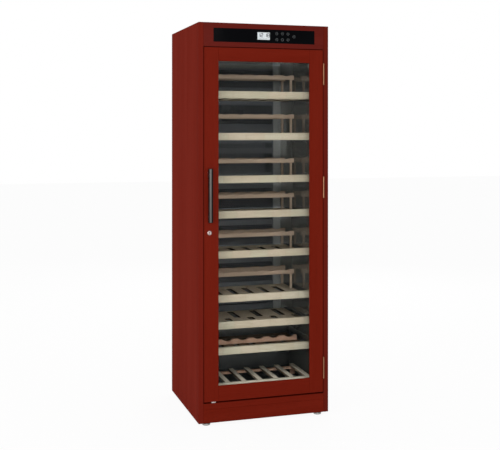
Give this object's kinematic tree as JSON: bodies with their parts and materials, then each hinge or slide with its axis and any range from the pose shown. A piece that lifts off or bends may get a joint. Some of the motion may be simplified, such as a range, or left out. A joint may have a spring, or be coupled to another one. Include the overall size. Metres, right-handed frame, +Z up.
{
  "type": "wine cabinet",
  "caption": "Tall free-standing wine cabinet: stained wooden case, framed glass door on butt hinges, sliding slatted bottle shelves over a cooling unit.",
  "frame": {"origin": "on the floor under the middle of the whole cabinet, door handle included", "axes": "+X to the right as seen from the front, +Y to the back (the door is at -Y), +Z up"},
  "size_m": [0.65, 0.606, 1.89],
  "materials": {
    "carcass_wood": "mahogany-stained lacquered panel, satin",
    "door_wood": "mahogany-stained lacquered solid wood, satin",
    "strip_wood": "pale laminated beech, oiled",
    "rack_wood": "light brown beech, oiled",
    "sheet_metal": "dark grey powder coat on thin sheet",
    "liner_plastic": "dark grey moulded liner skin, semi-gloss",
    "duct_sheet": "dark grey powder coat, perforated",
    "plate_metal": "roll-bonded plate, dull",
    "black_enamel": "black enamel",
    "black_plastic": "black moulded plastic",
    "black_trim": "black satin trim",
    "diffuser_white": "opal diffuser",
    "panel_glass": "black back-printed glass",
    "display_white": "backlit white segment display",
    "key_print": "grey printed key marks",
    "nylon_white": "white nylon",
    "hinge_metal": "antique brass plate, satin",
    "clear_glass": "clear tempered pane",
    "seal_rubber": "black magnetic door seal",
    "handle_steel": "satin grey face",
    "lock_chrome": "polished chrome",
    "foot_metal": "dull chrome"
  },
  "bodies": {
    "cabinet": {"side_panel_left": "carcass_wood", "side_panel_right": "carcass_wood", "top_panel": "carcass_wood", "fascia_board": "door_wood", "plinth_board": "door_wood", "bottom_rail": "door_wood", "base_panel": "carcass_wood", "back_panel": "sheet_metal", "rear_grille": "sheet_metal", "power_inlet": "black_plastic", "insulated_liner": "liner_plastic", "duct_panel": "duct_sheet", "evaporator": "plate_metal", "fan_housing": "black_plastic", "compressor": "black_enamel", "condenser": "black_enamel", "light_strip": "diffuser_white", "control_glass": "panel_glass", "display": "display_white", "touch_keys": "key_print", "control_box": "black_plastic", "shelf_runners": "black_plastic", "bottom_rack": "rack_wood", "door_rest_pad": "nylon_white", "lock_strike": "hinge_metal", "hinge_frame_leaves": "hinge_metal"},
    "door": {"hinge_door_leaves": "hinge_metal", "door_stile_left": "door_wood", "door_stile_right": "door_wood", "door_rail_top": "door_wood", "door_rail_bottom": "door_wood", "glass_outer": "clear_glass", "glass_inner": "clear_glass", "glazing_frame": "black_trim", "door_gasket": "seal_rubber", "handle_bar": "handle_steel", "handle_posts": "black_trim", "lock_housing": "lock_chrome"},
    "lock": {"lock_cylinder": "lock_chrome"},
    "fan": {"fan_impeller": "black_plastic"},
    "foot_front_left": {"foot_front_left": "foot_metal"},
    "foot_front_right": {"foot_front_right": "foot_metal"},
    "foot_rear_left": {"foot_rear_left": "foot_metal"},
    "foot_rear_right": {"foot_rear_right": "foot_metal"},
    "shelf_1": {"shelf_1_front": "strip_wood", "shelf_1_deck": "rack_wood"},
    "shelf_2": {"shelf_2_front": "strip_wood", "shelf_2_deck": "rack_wood"},
    "shelf_3": {"shelf_3_front": "strip_wood", "shelf_3_deck": "rack_wood"},
    "shelf_4": {"shelf_4_front": "strip_wood", "shelf_4_deck": "rack_wood"},
    "shelf_5": {"shelf_5_front": "strip_wood", "shelf_5_deck": "rack_wood"},
    "shelf_6": {"shelf_6_front": "strip_wood", "shelf_6_deck": "rack_wood"},
    "shelf_7": {"shelf_7_front": "strip_wood", "shelf_7_deck": "rack_wood"},
    "shelf_8": {"shelf_8_front": "strip_wood", "shelf_8_deck": "rack_wood"}
  },
  "joints": [
    {"name": "door_swing", "type": "hinge", "parent": "cabinet", "child": "door", "pos_m": [0.2995, -0.2762, 0.95], "axis": [0, 0, 1], "range_deg": [0, 170]},
    {"name": "lock_turn", "type": "hinge", "parent": "door", "child": "lock", "pos_m": [-0.272, -0.26, 0.904], "axis": [0, 1, 0], "range_deg": [0, 90]},
    {"name": "fan_spin", "type": "hinge", "parent": "cabinet", "child": "fan", "pos_m": [0, 0.272, 1.49], "axis": [0, 1, 0], "continuous": true},
    {"name": "level_front_left", "type": "slide", "parent": "cabinet", "child": "foot_front_left", "axis": [0, 0, -1], "range_m": [0, 0.012]},
    {"name": "level_front_right", "type": "slide", "parent": "cabinet", "child": "foot_front_right", "axis": [0, 0, -1], "range_m": [0, 0.012]},
    {"name": "level_rear_left", "type": "slide", "parent": "cabinet", "child": "foot_rear_left", "axis": [0, 0, -1], "range_m": [0, 0.012]},
    {"name": "level_rear_right", "type": "slide", "parent": "cabinet", "child": "foot_rear_right", "axis": [0, 0, -1], "range_m": [0, 0.012]},
    {"name": "shelf_1_slide", "type": "slide", "parent": "cabinet", "child": "shelf_1", "axis": [0, -1, 0], "range_m": [0, 0.015]},
    {"name": "shelf_2_slide", "type": "slide", "parent": "cabinet", "child": "shelf_2", "axis": [0, -1, 0], "range_m": [0, 0.015]},
    {"name": "shelf_3_slide", "type": "slide", "parent": "cabinet", "child": "shelf_3", "axis": [0, -1, 0], "range_m": [0, 0.015]},
    {"name": "shelf_4_slide", "type": "slide", "parent": "cabinet", "child": "shelf_4", "axis": [0, -1, 0], "range_m": [0, 0.015]},
    {"name": "shelf_5_slide", "type": "slide", "parent": "cabinet", "child": "shelf_5", "axis": [0, -1, 0], "range_m": [0, 0.015]},
    {"name": "shelf_6_slide", "type": "slide", "parent": "cabinet", "child": "shelf_6", "axis": [0, -1, 0], "range_m": [0, 0.015]},
    {"name": "shelf_7_slide", "type": "slide", "parent": "cabinet", "child": "shelf_7", "axis": [0, -1, 0], "range_m": [0, 0.015]},
    {"name": "shelf_8_slide", "type": "slide", "parent": "cabinet", "child": "shelf_8", "axis": [0, -1, 0], "range_m": [0, 0.015]}
  ]
}
